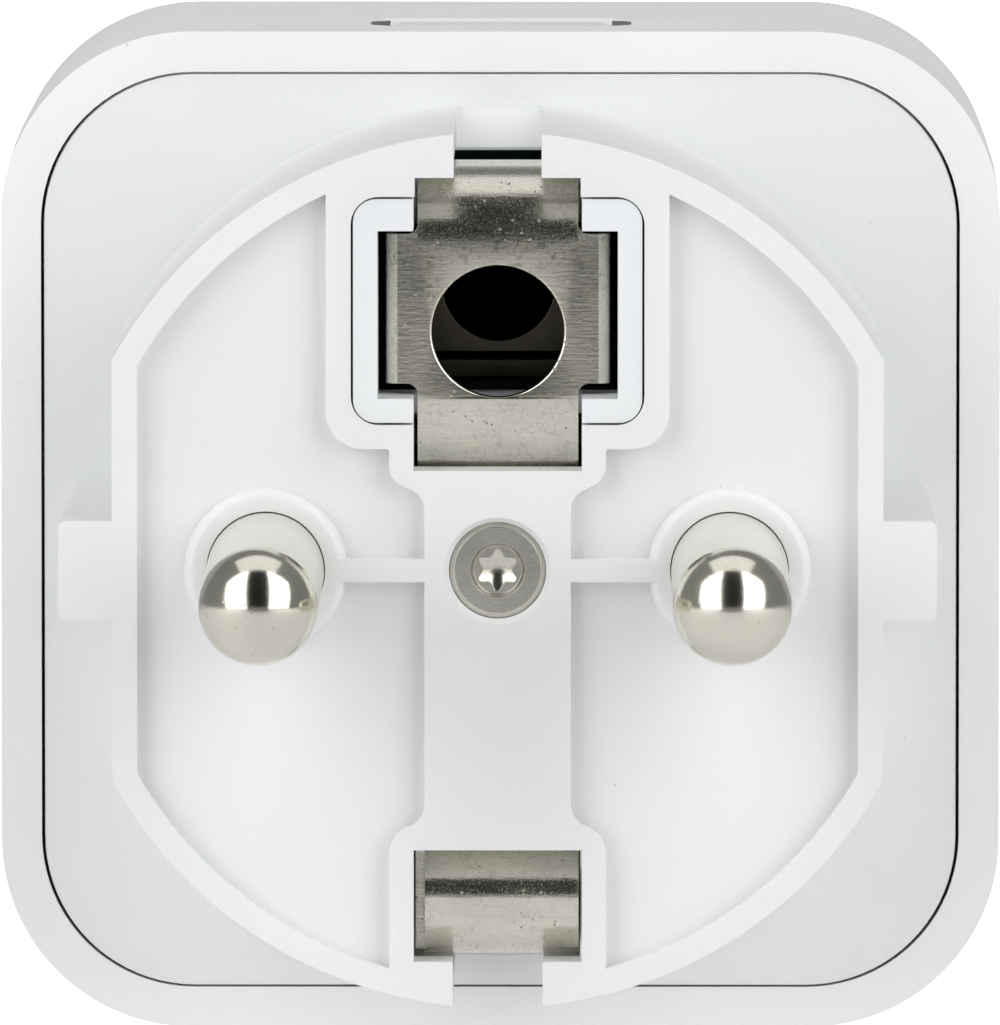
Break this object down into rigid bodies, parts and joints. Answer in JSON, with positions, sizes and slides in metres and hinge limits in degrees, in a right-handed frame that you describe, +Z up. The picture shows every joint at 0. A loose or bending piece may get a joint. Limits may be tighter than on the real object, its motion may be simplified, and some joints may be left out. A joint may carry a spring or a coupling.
{
  "type": "plug in power meter",
  "caption": "Compact square plug-in power meter and switch: round earthed mains plug behind, recessed earthed socket in front, long push button on top.",
  "frame": {"origin": "centre of the plug face, on the plug's axis, where it seats on a wall socket's floor", "axes": "+Y from the plug pins towards the socket well, +Z up towards the button, +X to the right seen from the plug side"},
  "size_m": [0.0422, 0.065, 0.0422],
  "materials": {
    "white_shell": "satin moulded",
    "white_insert": "satin moulded",
    "nickel": "nickel plated, brushed",
    "spring_bronze": "rolled strip",
    "steel": "satin",
    "circuit_board": "solder mask",
    "black_plastic": "moulded",
    "yellow_plastic": "moulded",
    "blue_coating": "dipped coating",
    "aluminium_can": "drawn",
    "copper": "bare copper",
    "clear_resin": "cast"
  },
  "bodies": {
    "housing": {"front_shell": "white_shell", "rear_housing": "white_insert", "earth_socket_frame": "white_insert", "plug_earth_contact_upper": "nickel", "plug_earth_contact_lower": "nickel", "earth_pin_fork": "spring_bronze", "line_pin": "nickel", "line_pin_lead": "copper", "line_socket_contact": "spring_bronze", "neutral_pin": "nickel", "neutral_pin_lead": "copper", "neutral_socket_contact": "spring_bronze", "housing_screw": "steel", "socket_earth_bracket": "nickel", "shutter_spring": "steel", "main_circuit_board": "circuit_board", "relay": "black_plastic", "mains_film_capacitor": "yellow_plastic", "bulk_capacitor": "aluminium_can", "output_capacitor": "aluminium_can", "filter_inductor": "copper", "fuse_resistor": "blue_coating", "varistor_disc": "blue_coating", "radio_module_board": "circuit_board", "radio_module_shield": "steel", "shunt_resistor": "copper", "metering_chip": "black_plastic", "power_supply_chip": "black_plastic", "status_led": "clear_resin", "antenna_wire": "copper", "key_switch_base": "black_plastic"},
    "button": {"button_cap": "white_shell"},
    "key_plunger": {"key_switch_plunger": "white_insert"},
    "shutter": {"shutter_plate": "black_plastic"},
    "earth_spring_upper": {"socket_earth_spring_upper": "nickel"},
    "earth_spring_lower": {"socket_earth_spring_lower": "nickel"}
  },
  "joints": [
    {"name": "button_press", "type": "slide", "parent": "housing", "child": "button", "axis": [0, 0, -1], "range_m": [0, 0.0005], "stiffness_N_per_m": 2000, "springref_m": -0.0001},
    {"name": "key_press", "type": "slide", "parent": "housing", "child": "key_plunger", "axis": [0, 0, -1], "range_m": [0, 0.0005]},
    {"name": "shutter_turn", "type": "hinge", "parent": "housing", "child": "shutter", "pos_m": [0, 0.0256, 0], "axis": [0, 1, 0], "range_deg": [0, 42], "stiffness_Nm_per_rad": 0.004, "springref_deg": -5.73},
    {"name": "earth_spring_upper_flex", "type": "hinge", "parent": "housing", "child": "earth_spring_upper", "pos_m": [0, 0.0276, 0.0169], "axis": [1, 0, 0], "range_deg": [0, 5], "stiffness_Nm_per_rad": 0.5, "springref_deg": -0.57},
    {"name": "earth_spring_lower_flex", "type": "hinge", "parent": "housing", "child": "earth_spring_lower", "pos_m": [0, 0.0276, -0.0169], "axis": [-1, 0, 0], "range_deg": [0, 5], "stiffness_Nm_per_rad": 0.5, "springref_deg": -0.57}
  ],
  "couplings": [
    {"joint": "key_press", "follows": "button_press", "ratio": 1}
  ]
}
